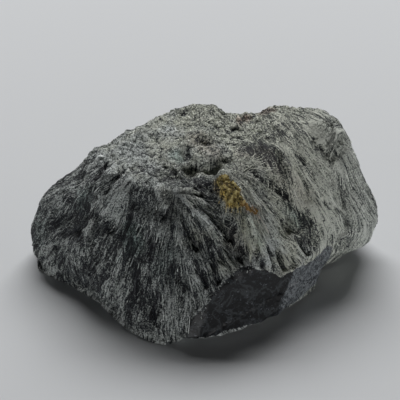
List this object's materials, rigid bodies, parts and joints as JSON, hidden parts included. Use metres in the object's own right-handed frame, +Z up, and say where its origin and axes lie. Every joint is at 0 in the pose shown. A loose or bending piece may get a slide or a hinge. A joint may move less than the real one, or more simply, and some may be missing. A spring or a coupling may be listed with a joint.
{
  "type": "raw seraphinite",
  "caption": "Rough chunk of fibrous dark green stone with feathery fans of silvery fibre, a crumbly light top, an ochre stain and a clean dark fracture low at the front.",
  "frame": {"origin": "under the middle of the stone's bounding box, on its flat rest face", "axes": "+X along the stone's length, towards its steep right end as the picture shows it; +Y to its back; +Z up from the rest face"},
  "size_m": [0.1136, 0.0694, 0.0517],
  "materials": {
    "seraphinite": "rough broken fibrous mineral, dull with silvery fibre faces"
  },
  "bodies": {
    "root": {"seraphinite": "seraphinite"}
  },
  "joints": []
}
